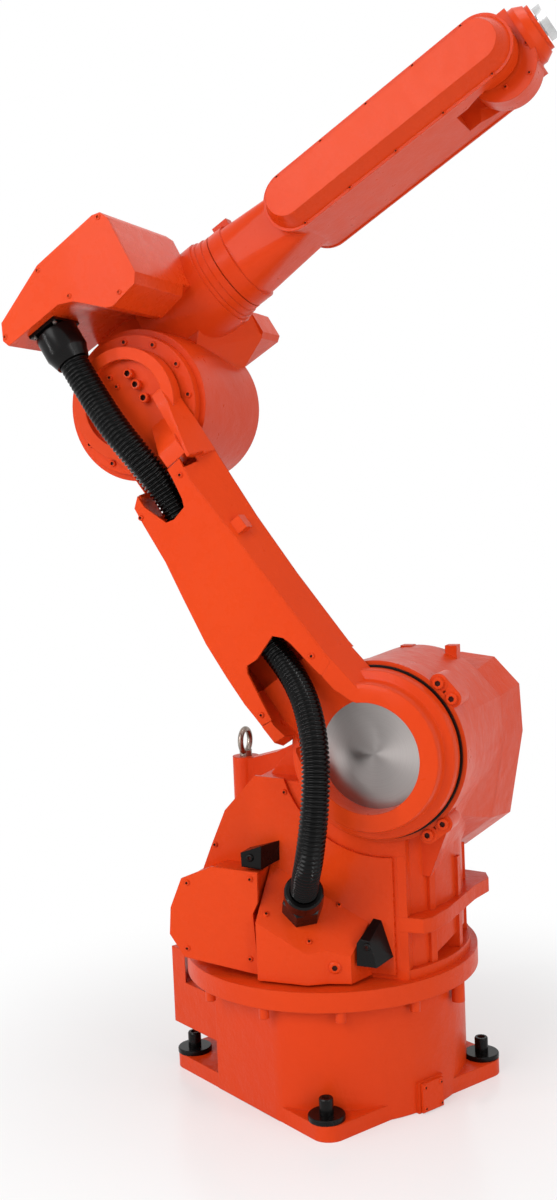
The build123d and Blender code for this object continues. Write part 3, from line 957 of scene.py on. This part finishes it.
# Screws of the wrist's end ring and face
ring_screw_r = 38
ring_spots = [((ring_face_u, ring_screw_r * cos(k * pi / 4), ring_screw_r * sin(k * pi / 4)), (1, 0, 0))
              for k in range(8)]
fasteners("wrist_ring_screws", FOREARM, "wrist", ring_spots, cap_head(4.3, 5, 2.0))
fasteners("wrist_face_screws", FOREARM, "wrist", [(829, -61, 40), (873, -67, 40), (895, -23, 40)],
          button_head(4.2, 3, 1.8))


# Studio
def area_light(name, place, aim, power, size_x, size_y):
    """Soft box aimed at a point."""
    light = bpy.data.lights.new(name, "AREA")
    light.shape = "RECTANGLE"
    light.energy = power
    light.size = size_x
    light.size_y = size_y
    lamp = bpy.data.objects.new(name, light)
    lamp.location = place
    lamp.rotation_euler = (Vector(aim) - Vector(place)).to_track_quat("-Z", "Y").to_euler()
    bpy.context.scene.collection.objects.link(lamp)


def background_rays(nodes, links):
    """1 for camera, glossy and transmission rays, 0 for all others."""
    path = nodes.new("ShaderNodeLightPath")
    value = path.outputs["Is Camera Ray"]
    for name in ("Is Glossy Ray", "Is Transmission Ray"):
        either = nodes.new("ShaderNodeMath")
        either.operation = "MAXIMUM"
        links.new(value, either.inputs[0])
        links.new(path.outputs[name], either.inputs[1])
        value = either.outputs[0]
    return value


def studio_world(ambient):
    """White background, plain ambient light on the object."""
    world = bpy.data.worlds.new("studio")
    world.use_nodes = True
    nodes, links = world.node_tree.nodes, world.node_tree.links
    nodes.clear()
    plain = nodes.new("ShaderNodeBackground")
    plain.inputs["Color"].default_value = (1, 1, 1, 1)
    plain.inputs["Strength"].default_value = ambient
    white = nodes.new("ShaderNodeBackground")
    white.inputs["Color"].default_value = (1, 1, 1, 1)
    mix = nodes.new("ShaderNodeMixShader")
    output = nodes.new("ShaderNodeOutputWorld")
    links.new(background_rays(nodes, links), mix.inputs[0])
    links.new(plain.outputs[0], mix.inputs[1])
    links.new(white.outputs[0], mix.inputs[2])
    links.new(mix.outputs[0], output.inputs["Surface"])
    bpy.context.scene.world = world


def floor_material():
    """Pale glossy floor that fades to white away from the object and keeps its shadow."""
    material, nodes, links, shader = new_material("floor")
    shader.inputs["Base Color"].default_value = (0.9, 0.9, 0.9, 1)
    shader.inputs["Roughness"].default_value = 0.22
    coordinates = nodes.new("ShaderNodeTexCoord")
    distance = nodes.new("ShaderNodeVectorMath")
    distance.operation = "LENGTH"
    links.new(coordinates.outputs["Object"], distance.inputs[0])
    fade = ramp_node(nodes, links, distance.outputs["Value"], 0.38, 1.1, 0.45, 1.0)
    fade.interpolation_type = "SMOOTHSTEP"
    share = nodes.new("ShaderNodeMath")
    share.operation = "MULTIPLY"
    links.new(fade.outputs["Result"], share.inputs[0])
    links.new(background_rays(nodes, links), share.inputs[1])
    glow = nodes.new("ShaderNodeEmission")
    glow.inputs["Color"].default_value = (1, 1, 1, 1)
    mix = nodes.new("ShaderNodeMixShader")
    links.new(share.outputs[0], mix.inputs[0])
    links.new(shader.outputs[0], mix.inputs[1])
    links.new(glow.outputs[0], mix.inputs[2])
    links.new(mix.outputs[0], nodes["Material Output"].inputs["Surface"])
    return material


floor_half = 12.0
mesh = bpy.data.meshes.new("floor")
corners = [(-floor_half, -floor_half, 0), (floor_half, -floor_half, 0), (floor_half, floor_half, 0),
           (-floor_half, floor_half, 0)]
mesh.from_pydata(corners, [], [(0, 1, 2, 3)])
mesh.materials.append(floor_material())
floor = bpy.data.objects.new("floor", mesh)
bpy.context.scene.collection.objects.link(floor)
ambient_strength = 0.36
studio_world(ambient_strength)

middle = Vector((0, 0, 0.9))
strip_power = 40
strip_width = 0.07
area_light("key_light", middle + OUT * 4.2 + UP * 2.2 - FORWARD * 1.4, middle, 108, 2.4, 2.4)
area_light("fill_light", middle + FORWARD * 4.5 + UP * 1.6 + OUT * 1.0, middle, 28, 1.6, 3.0)
area_light("top_light", middle + UP * 4.5 + FORWARD * 0.5, middle, 70, 2.4, 2.4)
area_light("left_strip", middle + OUT * 2.6 - FORWARD * 2.6 + UP * 0.3, middle, strip_power, strip_width,
           3.2)
area_light("right_strip", middle + OUT * 2.2 + FORWARD * 3.2 + UP * 0.3, middle, strip_power,
           strip_width, 3.2)

# Camera, fitted to the photograph
camera_place = Vector((1.941, -1.588, 1.076))
camera_heading = Vector((-0.7923, 0.6101, 0)).normalized()
camera_pitch = radians(4.0)
camera_roll = radians(-2.4)
focal_pixels = 1343.7
picture_height = 1200.0
sensor = 36.0
ahead = camera_heading * cos(camera_pitch) - UP * sin(camera_pitch)
level_right = ahead.cross(UP).normalized()
level_down = -level_right.cross(ahead)
right = level_right * cos(camera_roll) - level_down * sin(camera_roll)
down = level_right * sin(camera_roll) + level_down * cos(camera_roll)
data = bpy.data.cameras.new("camera")
data.sensor_fit = "VERTICAL"
data.sensor_height = sensor
data.lens = sensor * focal_pixels / picture_height
camera = bpy.data.objects.new("camera", data)
turn = Matrix((right, -down, -ahead)).transposed().to_4x4()
camera.matrix_world = Matrix.Translation(camera_place) @ turn
bpy.context.scene.collection.objects.link(camera)
bpy.context.scene.camera = camera
bpy.context.scene.view_settings.view_transform = "Standard"

bpy.context.view_layer.update()
